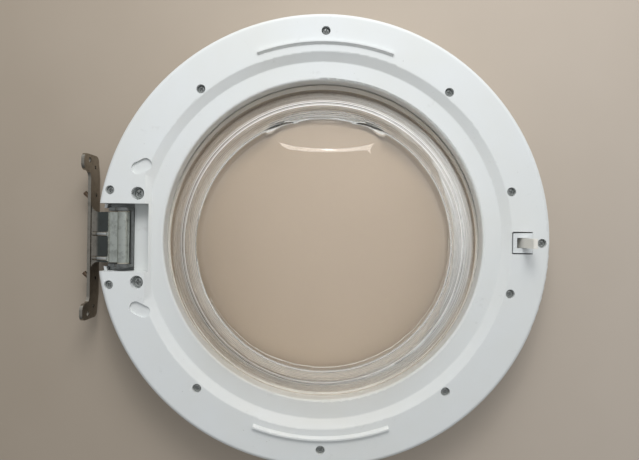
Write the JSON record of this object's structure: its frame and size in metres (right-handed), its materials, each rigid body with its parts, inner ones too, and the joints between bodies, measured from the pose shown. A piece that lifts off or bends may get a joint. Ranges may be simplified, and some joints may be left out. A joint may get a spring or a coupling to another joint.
{
  "type": "washing machine door",
  "caption": "Round washing machine door: white moulded rings round a clear pressed glass bowl, with a swinging steel hinge bracket and a sprung latch hook",
  "frame": {"origin": "centre of the door ring, on the plane of the front face that it lies on", "axes": "+Z from the front face towards the machine, +X from the hinge to the latch, +Y along the hinge pin"},
  "size_m": [0.4501, 0.425, 0.109],
  "materials": {
    "white_plastic": "satin moulded",
    "clear_glass": "pressed, clear",
    "seal_rubber": "matt",
    "plain_steel": "zinc plated",
    "bush_nylon": "moulded",
    "plated_steel": "bright plated, slightly worn",
    "tarnished_steel": "tarnished",
    "insert_plastic": "moulded",
    "hook_plastic": "moulded",
    "spring_steel": "drawn wire",
    "screw_steel": "zinc plated"
  },
  "bodies": {
    "door": {"front_ring": "white_plastic", "inner_frame": "white_plastic", "glass_bowl": "clear_glass", "glass_seal": "seal_rubber", "hinge_mount": "plain_steel", "hinge_pin": "plain_steel", "pin_clip": "plain_steel", "frame_screws": "screw_steel", "hinge_screws": "screw_steel", "latch_holder": "insert_plastic", "latch_pin": "plain_steel", "latch_spring": "spring_steel"},
    "bracket": {"hinge_bracket": "plated_steel", "bush_upper": "bush_nylon", "bush_lower": "bush_nylon", "locating_pegs": "tarnished_steel"},
    "hook": {"latch_hook": "hook_plastic"}
  },
  "joints": [
    {"name": "hinge_swing", "type": "hinge", "parent": "door", "child": "bracket", "pos_m": [-0.1905, 0, 0.032], "axis": [0, 1, 0], "range_deg": [-30, 90]},
    {"name": "hook_pivot", "type": "hinge", "parent": "door", "child": "hook", "pos_m": [0.1883, 0, 0.027], "axis": [0, 1, 0], "range_deg": [-12, 0], "stiffness_Nm_per_rad": 0.3, "springref_deg": 14.32, "deforming": ["latch_spring"]}
  ]
}
